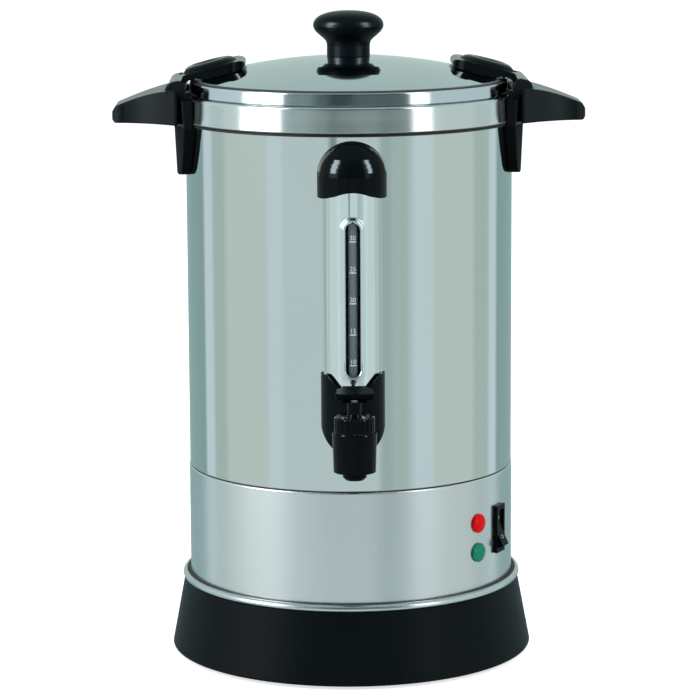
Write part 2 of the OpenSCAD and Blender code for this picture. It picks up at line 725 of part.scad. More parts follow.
// Lever outline seen from the side: y forward is negative, z up, pin at 0,0
module tap_lever() {
    hub_w = 15;
    side = concat(
        [[-4.4, -heel_h], [3, -heel_h]], arc(0, 0, 5.2, -30, 50, 6),
        [[0.5, 4.6], [-lever_len + 3, 5.4]], arc(-lever_len + 1.9, 3.5, 1.9, 90, 270, 6),
        [[-12, 0.4], [-6.2, -1.2]]);
    plan = concat(
        [[hub_w / 2, 6], [hub_w / 2, -5], [lever_w / 2 - 0.8, -13]],
        arc(lever_w / 2 - 7, -lever_len + 7, 7, 0, -80, 6),
        arc(-lever_w / 2 + 7, -lever_len + 7, 7, -100, -180, 6),
        [[-lever_w / 2 + 0.8, -13], [-hub_w / 2, -5], [-hub_w / 2, 6]]);
    gap = stem_d / 2 + 0.25;
    color([0.06, 0.07, 0.08]) translate([0, tap_y, lever_pin_z]) difference() {
        intersection() {
            translate([-lever_w, 0, 0]) rotate([90, 0, 90]) linear_extrude(2 * lever_w) polygon(side);
            translate([0, 0, -10]) linear_extrude(20) polygon(plan);
        }
        x_rod(6.4, -gap, gap, 0, 0);
        translate([-gap, -5.6, -10]) cube([2 * gap, 8.8, 10]);
        x_rod(lever_pin_d + 2 * run_fit, -lever_w, lever_w, 0, 0);
    }
}

module tap_pin() {
    color("silver") translate([0, tap_y, 0]) x_rod(lever_pin_d, -8.2, 8.2, 0, lever_pin_z);
}

// ---- Handles and latches (drawn on the +X side) ----

wing_n = 18;
function wing_half(t, inset) = handle_tip_w / 2 + (handle_w - handle_tip_w) / 2 * pow(1 - t, 2) - inset;
function wing_top(t, inset) =
    wing_z + wing_tip_h + (pivot_z - 0.5 - wing_z - wing_tip_h) * (1 - pow(t, 1.5)) - inset;

// Wing of the handle between x0 and the tip, shrunk by an inset
module wing(x0, inset) {
    root = pivot_x;
    span = tip_x - root;
    end_x = tip_x - inset;
    corner = 7 - inset / 2;
    top = [for (i = [0 : wing_n]) let (t = i / wing_n * 0.94) [root + span * t, wing_top(t, inset)]];
    half = [for (i = [0 : wing_n]) let (t = i / wing_n * 0.8) [root + span * t, wing_half(t, inset)]];
    bottom = wing_z - (inset > 0 ? 5 : 0);
    intersection() {
        translate([0, handle_w, 0]) rotate([90, 0, 0]) linear_extrude(2 * handle_w) polygon(concat(
            [[x0, bottom], [x0, wing_top(0, inset)]], top,
            [[end_x, wing_top(1, inset) - 3], [end_x, bottom + 2], [end_x - 2, bottom]]));
        translate([0, 0, leg_z]) linear_extrude(leg_drop + 30) polygon(concat(
            [[x0, -wing_half(0, inset)]],
            [for (i = [0 : wing_n]) [half[i][0], -half[i][1]]],
            arc(end_x - corner, -(half[wing_n][1] - corner), corner, -80, 0, 5),
            arc(end_x - corner, half[wing_n][1] - corner, corner, 0, 80, 5),
            [for (i = [wing_n : -1 : 0]) half[i]],
            [[x0, wing_half(0, inset)]]));
    }
}

module handle_body() {
    hw = handle_w / 2;
    ear_y = latch_w / 2 + latch_side;
    notch_z = rim_z - 1.5;
    side_x = vr - 18;
    difference() {
        union() {
            // leg that follows the vessel
            intersection() {
                translate([0, 0, leg_z]) cylinder(r1 = vr + 6, r2 = vr + 8.5, h = leg_drop + 4.6, $fn = fine);
                translate([side_x, 0, 0]) rotate([90, 0, 90]) linear_extrude(60) polygon(concat(
                    [[-hw, rim_z + 4]], [[-hw - 1, rim_z - 20]], [[-hw + 3.5, leg_z + 16]],
                    arc(-hw + 18, leg_z + 12, 12, 195, 270, 6), arc(hw - 18, leg_z + 12, 12, -90, -15, 6),
                    [[hw - 3.5, leg_z + 16]], [[hw + 1, rim_z - 20]], [[hw, rim_z + 4]]));
            }
            difference() {
                wing(vr + 4, 0);
                wing(vr + 11.5, handle_wall);
            }
            // ears, each with a brow towards the lid
            for (y0 = [-ear_y - ear_w, ear_y]) {
                y_rod(2 * knuckle_r, y0, y0 + ear_w, pivot_z, pivot_x);
                y_rod(2 * brow_r, y0, y0 + ear_w, pivot_z + brow_up, pivot_x - brow_in);
            }
        }
        // vessel and collar
        translate([0, 0, leg_z - 1]) cylinder(r = hug_r, h = leg_drop + 40, $fn = fine);
        translate([0, 0, bead_z - 0.4]) cylinder(r = collar_foot_r + 0.15, h = 60, $fn = fine);
        // pocket for the latch knuckle
        y_rod(2 * pocket_r, -ear_y, ear_y, pivot_z, pivot_x);
        translate([pivot_x - 20, -ear_y, rim_z + 0.3]) cube([20, 2 * ear_y, 30]);
        // notches outside the ears
        for (y0 = [-ear_y - ear_w - 30, ear_y + ear_w]) translate([pivot_x - 20, y0, notch_z])
            cube([19, 30, 40]);
        // the pin's bore, blind at the front
        y_rod(pin_d + 2 * run_fit, -pin_front - 0.2, hw + 5, pivot_z, pivot_x);
        for (z = handle_screw_zs) x_rod(screw_d - 0.8, vr - 2, handle_screw_tip + 0.3, 0, z);
    }
}

module right_handle() { color([0.07, 0.08, 0.09]) handle_body(); }
module left_handle() { color([0.07, 0.08, 0.09]) mirror([1, 0, 0]) handle_body(); }

// Screws that hold the handles and the gauge cap, with heads inside the vessel
module inside_screw(tip) {
    head = vr - sheet - 0.3;
    translate([0, -head, 0]) rotate([90, 0, 0])
        turned([[0, -2.4], [2.6, -2.4], [3.9, -1.2], [3.9, 0], [screw_d / 2 - 0.4, 0],
            [screw_d / 2 - 0.4, tip - head - 0.6], [0, tip - head]], small);
}
module housing_screws() {
    color("silver") {
        for (s = [-1, 1]) for (z = handle_screw_zs) translate([0, 0, z]) at_bearing(90 * s)
            inside_screw(handle_screw_tip);
        translate([0, 0, cap_screw_z]) inside_screw(vr + 5);
    }
}

module latch_pins() {
    color("silver") for (s = [-1, 1]) y_rod(pin_d, -pin_front, pin_back, pivot_z, s * pivot_x);
}

latch_slope = 14.8;                  // the top runs level with the lid's dome
latch_root = 8.7;                    // where the flat top starts, from the pin
latch_top = 9.2;                     // its height there above the pin
latch_corner = 13;
crown_x = 21;                        // middle of the crown, from the pin
crown_r = 20;
crown_h = 3.3;
crest_r = 12.5;
crest_round = (pow(crown_r - crest_r, 2) + crown_h * crown_h) / (2 * crown_h);
dish_turn = 15;
dish_r = crest_r / sin(dish_turn) - crest_round;
dish_z = crown_h - crest_round + (crest_round + dish_r) * cos(dish_turn);
function latch_z(u) = latch_top + (u - latch_root) * tan(latch_slope);

module latch_body() {
    hw = latch_w / 2;
    len = latch_len;
    tip = latch_z(len - 7);
    foot_a = atan2(crest_round - crown_h, crown_r - crest_r);
    difference() {
        union() {
            intersection() {
                translate([pivot_x, hw + 5, pivot_z]) rotate([90, 0, 0]) linear_extrude(latch_w + 10)
                    polygon([[0, knuckle_r], [-4.2, 5.5], [-4.9, 6.8], [-5.5, 8.2], [-6.9, 8.9],
                        [-latch_root, latch_top], [-len + 7, tip], [-len + 4, tip + 0.4],
                        [-len + 1.6, tip], [-len + 0.2, tip - 1], [-len - 0.4, tip - 2.4],
                        [-len + 0.2, tip - 3.8], [-len + 2.5, tip - 5.1], [-19, 3.4], [-17.6, 5.8],
                        [-14, 6.6], [-9, 5.1], [-7, 3.4], [-6.8, -2], [-5.5, -4.7], [-3, -4.2], [0, 0]]);
                translate([pivot_x, 0, pivot_z - 20]) linear_extrude(60) polygon(concat([[3, hw]],
                    arc(-len + latch_corner, hw - latch_corner, latch_corner, 90, 180, 12),
                    arc(-len + latch_corner, -hw + latch_corner, latch_corner, 180, 270, 12), [[3, -hw]]));
            }
            y_rod(2 * knuckle_r, -hw, hw, pivot_z, pivot_x);
            // crown with a dished top, rounded off above the hinge
            intersection() {
                translate([pivot_x - crown_x, 0, pivot_z + latch_z(crown_x)]) rotate([0, latch_slope, 0])
                    turned(concat([[0, -2.5], [crown_r, -2.5]],
                        arc(crest_r, crown_h - crest_round, crest_round, foot_a, 90 + dish_turn, 10),
                        [for (a = [12, 8, 4]) [dish_r * sin(a), dish_z - dish_r * cos(a)]],
                        [[0, dish_z - dish_r]]), fine);
                translate([pivot_x, hw, pivot_z]) rotate([90, 0, 0]) linear_extrude(latch_w)
                    polygon([[-5.5, 6], [-5.5, 8.4], [-5.9, 9.8], [-7.1, 11.3], [-9.2, 12.4], [-16, 15],
                        [-24, 30], [-len + 1, 30], [-len + 1, 6]]);
            }
        }
        under_dome(seat_gap, skirt_r + 0.6);
        y_rod(pin_d + 2 * run_fit, -hw - 5, hw + 5, pivot_z, pivot_x);
    }
}
module right_latch() { color([0.06, 0.07, 0.08]) latch_body(); }
module left_latch() { color([0.06, 0.07, 0.08]) mirror([1, 0, 0]) latch_body(); }

// ---- Controls ----

module lamp(z) {
    r = lamp_d / 2;
    at_bearing(lamp_az) translate([0, -control_r - 0.25, z]) rotate([90, 0, 0])
        turned([[0, -15], [r - 1.5, -15], [r - 1.5, -0], [r, 0], [r, 0.9], [r - 0.6, 1.5],
            [r - 2.4, 2.5], [r - 4.4, 3], [0, 3.2]], small);
}
module heating_lamp() { color([0.85, 0.12, 0.08]) lamp(red_z); }
module warm_lamp() { color([0.05, 0.45, 0.32]) lamp(green_z); }

module lamp_clips() {
    r = lamp_d / 2;
    color("silver") for (z = [red_z, green_z]) at_bearing(lamp_az)
        translate([0, -control_r + sheet + 0.4, z]) rotate([-90, 0, 0])
            turned([[r - 1.5 + slip_fit, 0], [r + 1.2, 0], [r + 1.2, 0.8],
                [r - 0.4, 2], [r - 1.5 + slip_fit, 2]], small);
}

module switch_housing() {
    inner_w = rocker_w + 0.5;
    color([0.06, 0.07, 0.08]) at_bearing(switch_az) translate([0, 0, switch_z]) difference() {
        union() {
            translate([-bezel_w / 2, -control_r - bezel_proud - 0.3, -bezel_h / 2])
                cube([bezel_w, bezel_proud, bezel_h]);
            translate([-(bezel_w - 1.9) / 2, -control_r - 1, -(bezel_h - 3.5) / 2])
                cube([bezel_w - 1.9, housing_depth, bezel_h - 3.5]);
        }
        intersection() {
            translate([0, -rocker_pivot, 0]) x_rod(2 * rocker_r + 0.6, -inner_w / 2, inner_w / 2, 0, 0);
            translate([-inner_w, -control_r - 4, -20]) cube([2 * inner_w, 12, 40]);
        }
        translate([0, -rocker_pivot, 0])
            x_rod(trunnion_d + 2 * run_fit, -(inner_w / 2 + 0.45), inner_w / 2 + 0.45, 0, 0);
    }
    color("silver") at_bearing(switch_az) for (h = [-9, 0, 9])
        translate([-2.4, -control_r - 1 + housing_depth, switch_z + h - 0.4]) cube([4.8, 8, 0.8]);
}

module switch_rocker() {
    up = 20;
    // outline in (out, up): the ends lie on one radius about the pivot
    ends = arc(0, 0, rocker_r, 90 + up, 90 - 2, 5);
    outline = concat(
        [for (p = ends) [p[0], p[1]]], [[4.5, 5], [4.5, -5]],
        [for (i = [len(ends) - 1 : -1 : 0]) [ends[i][0], -ends[i][1]]],
        arc(-30.4, 0, 28.1, -20, 20, 8));
    color([0.05, 0.055, 0.06]) at_bearing(switch_az) translate([0, -rocker_pivot, switch_z])
        rotate([-rocker_tilt, 0, 0]) union() {
            translate([-rocker_w / 2, 0, 0]) rotate([90, 0, 90]) linear_extrude(rocker_w) polygon(outline);
            x_rod(trunnion_d, -rocker_w / 2 - 0.6, rocker_w / 2 + 0.6, 0, 0);
        }
}

// ---- Brew set ----

module pump_foot() {
    z = well_z + sheet + 0.1;
    foot_r = well_r - sheet - 1.2;
    color([0.74, 0.75, 0.76]) turned([[foot_r - 1, z], [foot_r, z], [foot_r, z + 2], [pump_r + 1.4, z + 13],
        [pump_r + 1.4, z + 20], [pump_r + slip_fit, z + 20], [pump_r + slip_fit, z + 13],
        [foot_r - 1, z + 1.8]], small);
}

module pump_tube() {
    z = well_z + sheet + 14;
    color([0.76, 0.77, 0.78]) turned([[pump_r - 0.8, z], [pump_r, z],
        [pump_r, basket_z - 4], [pump_r + 3, basket_z - 3], [pump_r + 3, basket_z - 1],
        [pump_r, basket_z - 1], [pump_r, pump_top - 1], [pump_r - 0.8, pump_top]], small);
}

hole_d = 2.6;
// Ring of n small holes
module hole_ring(r, n, z, h, turn = 0) {
    for (i = [0 : n - 1]) rotate([0, 0, turn + i * 360 / n]) translate([r, 0, z])
        cylinder(d = hole_d, h = h, $fn = 16);
}

module coffee_basket() {
    t = 0.9;
    lip = 2.4;
    inner = pump_r + 0.4;
    color([0.78, 0.79, 0.80]) difference() {
        turned([[inner, basket_z - 0.9], [basket_r - 3, basket_z - 0.9], [basket_r, basket_z + 2.1],
            [basket_r, basket_z + basket_h - lip], [basket_r + lip, basket_z + basket_h - lip],
            [basket_r + lip, basket_z + basket_h], [basket_r - t, basket_z + basket_h],
            [basket_r - t, basket_z + 2.4], [basket_r - 3.3, basket_z], [basket_tube_r, basket_z],
            [basket_tube_r, basket_z + basket_h - 3], [inner, basket_z + basket_h - 3]]);
        for (k = [1 : 4]) hole_ring(basket_r * (0.22 + 0.15 * k), 6 + 6 * k, basket_z - 3, 6, 7 * k);
    }
}

module basket_cover() {
    z = basket_z + basket_h + 0.05;
    t = 0.9;
    inner = pump_r + 0.4;
    color([0.78, 0.79, 0.80]) difference() {
        turned([[inner, z - 2], [inner + t, z - 2], [inner + t, z], [basket_r - 8, z],
            [basket_r - 5, z + 3], [basket_r + 3.3, z + 3], [basket_r + 3.3, z - 3],
            [basket_r + 3.3 + t, z - 3], [basket_r + 3.3 + t, z + 3 + t], [basket_r - 5.4, z + 3 + t],
            [basket_r - 8.4, z + t], [inner, z + t]]);
        for (k = [1 : 4]) hole_ring(basket_r * (0.16 + 0.15 * k), 6 + 6 * k, z - 3, 6, 5 * k);
    }
}

// ---- Lid ----

module lid_shell() {
    n = 10;
    out = [for (i = [0 : n - 1]) let (r = round_r * i / n) [r, dome_at(r)]];
    in = [for (i = [n - 1 : -1 : 0]) let (r = round_r * i / n) [r, dome_at(r) - sheet]];
    color([0.78, 0.80, 0.81]) difference() {
        turned(concat(out, arc(round_r, round_z, lid_round, round_a, 0, 6),
            [[skirt_r, lid_z + 0.8], [skirt_r - 0.8, lid_z], [flange_r, lid_z],
             [flange_r, rim_z - flange_depth], [flange_r - sheet, rim_z - flange_depth],
             [flange_r - sheet, lid_z + sheet], [skirt_r - sheet, lid_z + sheet]],
            arc(round_r, round_z, lid_round - sheet, 0, round_a, 4), in));
        translate([0, 0, apex_z - 10]) cylinder(d = knob_hole_d, h = 20, $fn = small);
    }
}

knob_neck = 6.6;     // height of the stem's straight part
knob_widest = 0.66;  // height of the widest place, as a share of the knob's
// Shares of the way from the neck to the widest place, outwards and upwards
knob_under = [[0, 0], [0.02, 0.1], [0.08, 0.23], [0.25, 0.36], [0.5, 0.51], [0.79, 0.7], [0.93, 0.85]];
knob_curve = 2.35;   // exponent of the rounded top
knob_steps = 12;
module lid_knob() {
    r = knob_d / 2;
    s = knob_stem_d / 2 - 0.5;
    z = apex_z + seat_gap;
    wide_z = z + knob_h * knob_widest;
    color([0.06, 0.07, 0.08]) difference() {
        turned(concat(
            [[0, z - 1.5], [s, z - 1.5]],
            [for (p = knob_under) [s + (r - s) * p[0], z + knob_neck + (wide_z - z - knob_neck) * p[1]]],
            [for (i = [0 : knob_steps]) let (a = 90 * i / knob_steps)
                [i == knob_steps ? 0 : r * pow(cos(a), 2 / knob_curve),
                 wide_z + (z + knob_h - wide_z) * pow(sin(a), 2 / knob_curve)]]));
        under_dome(run_fit, s + 4);
        translate([0, 0, apex_z - 5]) cylinder(d = 3.4, h = 18, $fn = small);
    }
}

module lid_screw() {
    z = apex_z - sheet - 0.35;
    color("silver") turned([[0, z - 3.2], [3, z - 3.2], [4.2, z - 2], [4.2, z - 1.2],
        [6.5, z - 1.2], [6.5, z],
        [1.65, z], [1.65, z + 12], [0, z + 12.6]], small);
}

base_shell();
base_plate();
feet();
base_screws();
trim_ring();
lower_band();
cord_gland();
terminal_block();
heater_bracket();
tie_bolt();
main_heater();
warm_heater();
thermostat();
thermal_fuse();
vessel_shell();
vessel_floor();
rim_collar();
gauge_shield();
gauge_glass();
gauge_cap();
gauge_top_seal();
gauge_bottom_seal();
tap_shroud();
tap_body();
tap_shank();
tap_washer();
tap_nut();
tap_bonnet();
tap_stem();
tap_seat_seal();
tap_spring();
tap_lever();
tap_pin();
left_handle();
right_handle();
housing_screws();
latch_pins();
left_latch();
right_latch();
heating_lamp();
warm_lamp();
lamp_clips();
switch_housing();
switch_rocker();
pump_tube();
pump_foot();
coffee_basket();
basket_cover();
lid_shell();
lid_knob();
lid_screw();
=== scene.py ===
import json
from math import cos, pi, radians, sin, sqrt

import bmesh
import bpy
from mathutils import Matrix, Vector


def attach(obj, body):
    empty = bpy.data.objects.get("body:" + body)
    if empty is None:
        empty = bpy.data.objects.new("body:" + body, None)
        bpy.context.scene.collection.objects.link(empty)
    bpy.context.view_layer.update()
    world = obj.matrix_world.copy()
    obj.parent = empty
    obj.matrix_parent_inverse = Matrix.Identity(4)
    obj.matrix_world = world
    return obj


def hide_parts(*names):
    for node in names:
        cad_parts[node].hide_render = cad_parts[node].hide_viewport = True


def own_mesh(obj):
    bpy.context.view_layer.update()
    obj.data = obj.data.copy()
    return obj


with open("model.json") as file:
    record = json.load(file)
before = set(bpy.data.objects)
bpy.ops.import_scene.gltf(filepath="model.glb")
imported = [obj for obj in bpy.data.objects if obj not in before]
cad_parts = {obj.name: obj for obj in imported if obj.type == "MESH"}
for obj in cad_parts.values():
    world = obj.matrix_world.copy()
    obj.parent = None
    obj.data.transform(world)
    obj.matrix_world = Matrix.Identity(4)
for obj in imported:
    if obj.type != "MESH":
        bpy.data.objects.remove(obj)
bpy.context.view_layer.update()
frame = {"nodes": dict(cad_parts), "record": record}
nodes = frame["nodes"]


class Wire:
    # one output of a node; arithmetic on it adds Math nodes
    def __init__(self, sheet, socket):
        self.sheet = sheet
        self.socket = socket

    def calc(self, operation, *others):
        values = dict(enumerate((self, *others)))
        return self.sheet.add("ShaderNodeMath", {"operation": operation}, values)

    def flipped(self, operation, other):  # with the other value first
        return self.sheet.add("ShaderNodeMath", {"operation": operation}, {0: other, 1: self})

    def __add__(self, other):
        return self.calc("ADD", other)

    def __radd__(self, other):
        return self.calc("ADD", other)

    def __sub__(self, other):
        return self.calc("SUBTRACT", other)

    def __rsub__(self, other):
        return self.flipped("SUBTRACT", other)

    def __mul__(self, other):
        return self.calc("MULTIPLY", other)

    def __rmul__(self, other):
        return self.calc("MULTIPLY", other)

    def __truediv__(self, other):
        return self.calc("DIVIDE", other)

    def __rtruediv__(self, other):
        return self.flipped("DIVIDE", other)

    def also(self, name):  # another output of the same node
        return Wire(self.sheet, self.socket.node.outputs[name])


class NodeSheet:
    # the node tree of a material or of the world
    def __init__(self, tree):
        self.tree = tree
        tree.nodes.clear()

    def add(self, kind, settings=None, sockets=None, out=0):
        # the settings are set first, then each socket gets its value or link
        node = self.tree.nodes.new(kind)
        for name, value in (settings or {}).items():
            if name == "stops":
                self.fillRamp(node.color_ramp, value)
            else:
                setattr(node, name, value)
        for key, value in (sockets or {}).items():
            self.plug(node.inputs[key], value)
        return Wire(self, node.outputs[out]) if len(node.outputs) else node

    def plug(self, socket, value):
        if isinstance(value, Wire):
            self.tree.links.new(value.socket, socket)
        elif hasattr(value, "__len__") and len(socket.default_value) == 4:
            socket.default_value = (*value, 1)
        else:
            socket.default_value = value

    def fillRamp(self, ramp, stops):
        while len(ramp.elements) < len(stops):
            ramp.elements.new(1)
        for element, (place, tone) in zip(ramp.elements, stops):
            element.position = place
            element.color = (*tone, 1)

    def mixColor(self, factor, a, b):
        return self.add("ShaderNodeMix", {"data_type": "RGBA"}, {0: factor, 6: a, 7: b}, 2)

    def between(self, value, low, high, toLow=0, toHigh=1):
        # a smooth step from toLow, where the value is low, to toHigh, where it is high
        return self.add("ShaderNodeMapRange", {"interpolation_type": "SMOOTHSTEP"},
                        {0: value, 1: low, 2: high, 3: toLow, 4: toHigh})


cornerSamples = 6


class Finish(NodeSheet):
    # a material with one Principled shader; places are the object's own, in metres
    def __init__(self, name, **constants):
        self.material = bpy.data.materials.new(name)
        self.material.use_nodes = True
        super().__init__(self.material.node_tree)
        self.shader = self.add("ShaderNodeBsdfPrincipled")
        self.output = self.add("ShaderNodeOutputMaterial", None, {0: self.shader})
        self.place = self.add("ShaderNodeTexCoord", out="Object")
        for key, value in constants.items():
            self.set(key.replace("_", " "), value)

    def set(self, name, value):
        self.plug(self.shader.socket.node.inputs[name], value)

    def along(self, axis):
        return self.add("ShaderNodeSeparateXYZ", None, {0: self.place}).also(axis)

    def radius(self):  # from the urn's upright axis
        x, y = self.along("X"), self.along("Y")
        return (x * x + y * y).calc("SQRT")

    def band(self, foot, top, fade):
        # 1 between two heights; it rises just above the foot and falls from under to over the top
        rise, under, over = fade
        height = self.along("Z")
        return (self.between(height, foot, foot + rise)
                * self.between(height, top - under, top + over, 1, 0))

    def noise(self, scale, detail=2, stretch=(1, 1, 1)):
        spot = self.add("ShaderNodeMapping", None, {0: self.place, 3: stretch})
        return self.add("ShaderNodeTexNoise", None,
                        {"Vector": spot, "Scale": scale, "Detail": detail})

    def latheLines(self, perRadian, perMetre, detail):  # fine lines round the urn's axis
        angle = self.along("X").calc("ARCTAN2", self.along("Y"))
        track = self.add("ShaderNodeCombineXYZ", None,
                         {0: angle * perRadian, 2: self.along("Z") * perMetre})
        return self.add("ShaderNodeTexNoise", None,
                        {"Vector": track, "Scale": 1, "Detail": detail})

    def bump(self, height, strength, depth, edge=0):  # edge is a radius that softens corners
        sockets = {"Height": height, "Strength": strength, "Distance": depth}
        if edge:
            sockets["Normal"] = self.add("ShaderNodeBevel", {"samples": cornerSamples},
                                         {"Radius": edge})
        self.set("Normal", self.add("ShaderNodeBump", None, sockets))


def shade(tone, share):
    return [channel * share for channel in tone]


steelLook = {
    "dull": 0.965,  # share of the tone where the steel is dullest
    "smudgeScale": 9, "wipeScale": 38, "wipeStretch": (1, 1, 0.12),
    "linesRound": 1.6, "linesUp": 2600,  # polishing lines per radian and per metre of height
    "lineDepth": 0.00002,
    # a painted shade line: the share of the tone it keeps, the roughness it adds, and how it
    # fades
    "paintedShade": 0.02, "paintedShadeRough": 1.4, "paintedShadeFade": (0.0002, 0.0003, 0.0003),
}


def polishedSteel(name, tone, gloss, smudge, lines, joint, rim=None):
    # a painted shade line, dark and matt, runs between two given heights
    # the rim is where the steel gets duller: from one radius to another, and how rough it ends
    finish = Finish(name, Metallic=1)
    cloud = finish.noise(steelLook["smudgeScale"], 3)
    wipe = finish.noise(steelLook["wipeScale"], 4, steelLook["wipeStretch"])
    grain = finish.latheLines(steelLook["linesRound"], steelLook["linesUp"], 2)
    # painted shade: along the line the colour darkens, the metal goes and the roughness rises
    paintedShade = finish.band(*joint, steelLook["paintedShadeFade"])
    clean = finish.mixColor(cloud, tone, shade(tone, steelLook["dull"]))
    finish.set("Base Color", finish.mixColor(paintedShade, clean, shade(tone, steelLook["paintedShade"])))
    finish.set("Metallic", 1 - paintedShade)
    if rim:
        start, end, dullest = rim
        gloss = finish.between(finish.radius(), start, end, gloss, dullest)
    finish.set("Roughness", gloss + cloud * wipe * (smudge + paintedShade * steelLook["paintedShadeRough"]))
    finish.bump(grain, lines, steelLook["lineDepth"])
    return finish.material


shieldLook = {
    "tone": (0.74, 0.785, 0.81), "dull": 0.96,
    "gloss": 0.03, "hazeScale": 30, "hazeRough": 0.04,
    "rippleScale": 150, "rippleStretch": (1, 1, 0.03), "rippleBump": 0.25, "rippleDepth": 0.0006,
    "edge": 0.0009,
}


def drawnChrome(name):  # bright chrome with the long ripples of a drawn sheet
    finish = Finish(name, Metallic=1)
    tone = shieldLook["tone"]
    haze = finish.noise(shieldLook["hazeScale"])
    ripple = finish.noise(shieldLook["rippleScale"], 2, shieldLook["rippleStretch"])
    finish.set("Base Color", finish.mixColor(haze, tone, shade(tone, shieldLook["dull"])))
    finish.set("Roughness", shieldLook["gloss"] + haze * shieldLook["hazeRough"])
    finish.bump(ripple, shieldLook["rippleBump"], shieldLook["rippleDepth"], shieldLook["edge"])
    return finish.material


ringLook = {
    "tone": (0.57, 0.62, 0.63), "gloss": 0.2, "hazeScale": 60, "hazeRough": 0.05,
    # a painted shade line where the ring meets the band: its radius, the share of the tone it
    # keeps, the roughness it adds and its fade
    "innerEdge": 0.1111, "paintedShade": 0.02, "paintedShadeRough": 0.4, "paintedShadeFade": 0.0003,
}


def rolledRing(name):  # rolled steel with a painted shade line, dark and matt, where it meets the band
    finish = Finish(name, Metallic=1)
    tone, edge, fade = ringLook["tone"], ringLook["innerEdge"], ringLook["paintedShadeFade"]
    haze = finish.noise(ringLook["hazeScale"])
    # painted shade: the gap against the band is darkened, matt and not metal
    paintedShade = finish.between(finish.radius(), edge - fade, edge + fade, 1, 0)
    finish.set("Base Color", finish.mixColor(paintedShade, tone, shade(tone, ringLook["paintedShade"])))
    finish.set("Metallic", 1 - paintedShade)
    finish.set("Roughness", ringLook["gloss"] + haze * ringLook["hazeRough"]
               + paintedShade * ringLook["paintedShadeRough"])
    return finish.material


satinLook = {
    "tone": (0.645, 0.662, 0.680), "dull": 0.985,
    "gloss": 0.26, "cloudScale": 16, "cloudRough": 0.02,
}


def satinSteel(name):
    finish = Finish(name, Metallic=1)
    tone = satinLook["tone"]
    cloud = finish.noise(satinLook["cloudScale"], 3)
    finish.set("Base Color", finish.mixColor(cloud, tone, shade(tone, satinLook["dull"])))
    finish.set("Roughness", satinLook["gloss"] + cloud * satinLook["cloudRough"])
    return finish.material


collarLook = {
    "tone": (0.655, 0.69, 0.685), "dull": 0.96,
    "gloss": 0.11, "cloudScale": 24, "cloudRough": 0.02,
    "linesRound": 2, "linesUp": 3400, "lineRough": 0.05, "lineBump": 0.05, "lineDepth": 0.00002,
    "bead": (0.3556, 0.3584),  # heights of its foot and top
    # a painted shade line on the bead: the share of the tone it keeps, the roughness it adds and
    # its fades
    "paintedShade": 0.01, "paintedShadeRough": 0.3, "paintedShadeFade": (0.0004, 0.0003, 0.0004),
}


def brushedCollar(name):  # bright steel with lathe lines round the rim, and a painted shade line on its bead
    finish = Finish(name, Metallic=1)
    tone = collarLook["tone"]
    cloud = finish.noise(collarLook["cloudScale"], 3)
    grain = finish.latheLines(collarLook["linesRound"], collarLook["linesUp"], 3)
    # painted shade: the shadow in the gap under the collar, as a dark matt line on the bead
    paintedShade = finish.band(*collarLook["bead"], collarLook["paintedShadeFade"])
    clean = finish.mixColor(cloud, tone, shade(tone, collarLook["dull"]))
    finish.set("Base Color", finish.mixColor(paintedShade, clean, shade(tone, collarLook["paintedShade"])))
    finish.set("Metallic", 1 - paintedShade)
    finish.set("Roughness", collarLook["gloss"] + grain * collarLook["lineRough"]
               + cloud * collarLook["cloudRough"] + paintedShade * collarLook["paintedShadeRough"])
    finish.bump(grain, collarLook["lineBump"], collarLook["lineDepth"])
    return finish.material


metalLook = {
    "dull": 0.86, "cloudScale": 30,
    "grainRough": 0.14, "grainBump": 0.12, "grainDepth": 0.00005,
}


def plainMetal(name, tone, gloss, grainScale=260):
    finish = Finish(name, Metallic=1)
    grain = finish.noise(grainScale, 3)
    cloud = finish.noise(metalLook["cloudScale"])
    finish.set("Base Color", finish.mixColor(cloud, tone, shade(tone, metalLook["dull"])))
    finish.set("Roughness", gloss + grain * metalLook["grainRough"])
    finish.bump(grain, metalLook["grainBump"], metalLook["grainDepth"])
    return finish.material


mouldingLook = {
    "pale": 1.6,  # times the tone where the plastic is palest
    "cloudScale": 26, "skinScale": 900, "skinRough": 0.03, "skinDepth": 0.00003,
}


def mouldedBlack(name, tone, gloss, grain, wear, shine, edge=0.0006):
    # grain is how much the skin's bumps show, and wear how much the gloss varies
    finish = Finish(name, Specular_IOR_Level=shine)
    skin = finish.noise(mouldingLook["skinScale"], 3)
    cloud = finish.noise(mouldingLook["cloudScale"], 3)
    finish.set("Base Color", finish.mixColor(cloud, tone, shade(tone, mouldingLook["pale"])))
    finish.set("Roughness", gloss + cloud * wear + skin * mouldingLook["skinRough"])
    finish.bump(skin, grain, mouldingLook["skinDepth"], edge)
    return finish.material


handleLook = {
    "tone": (0.00030, 0.00050, 0.00060), "matt": 0.6, "shine": 0.03,
    "gloss": 0.2, "glossIor": 1.14,
    "glossFrom": 0.3565, "glossFade": 0.001,  # height where the polish begins
    "grain": 0.04, "edge": 0.0018,
}


def handleBlack(name):  # polished wing and ears, and a matt leg below them
    finish = Finish(name, Roughness=handleLook["matt"], Specular_IOR_Level=handleLook["shine"],
                    Coat_Roughness=handleLook["gloss"], Coat_IOR=handleLook["glossIor"])
    tone, foot, fade = handleLook["tone"], handleLook["glossFrom"], handleLook["glossFade"]
    skin = finish.noise(mouldingLook["skinScale"], 3)
    cloud = finish.noise(mouldingLook["cloudScale"], 3)
    finish.set("Base Color", finish.mixColor(cloud, tone, shade(tone, mouldingLook["pale"])))
    finish.set("Coat Weight", finish.between(finish.along("Z"), foot - fade, foot + fade))
    finish.bump(skin, handleLook["grain"], mouldingLook["skinDepth"], handleLook["edge"])
    return finish.material


softLook = {"cloudScale": 40, "skinRough": 0.1, "skinBump": 0.15, "skinDepth": 0.00008}


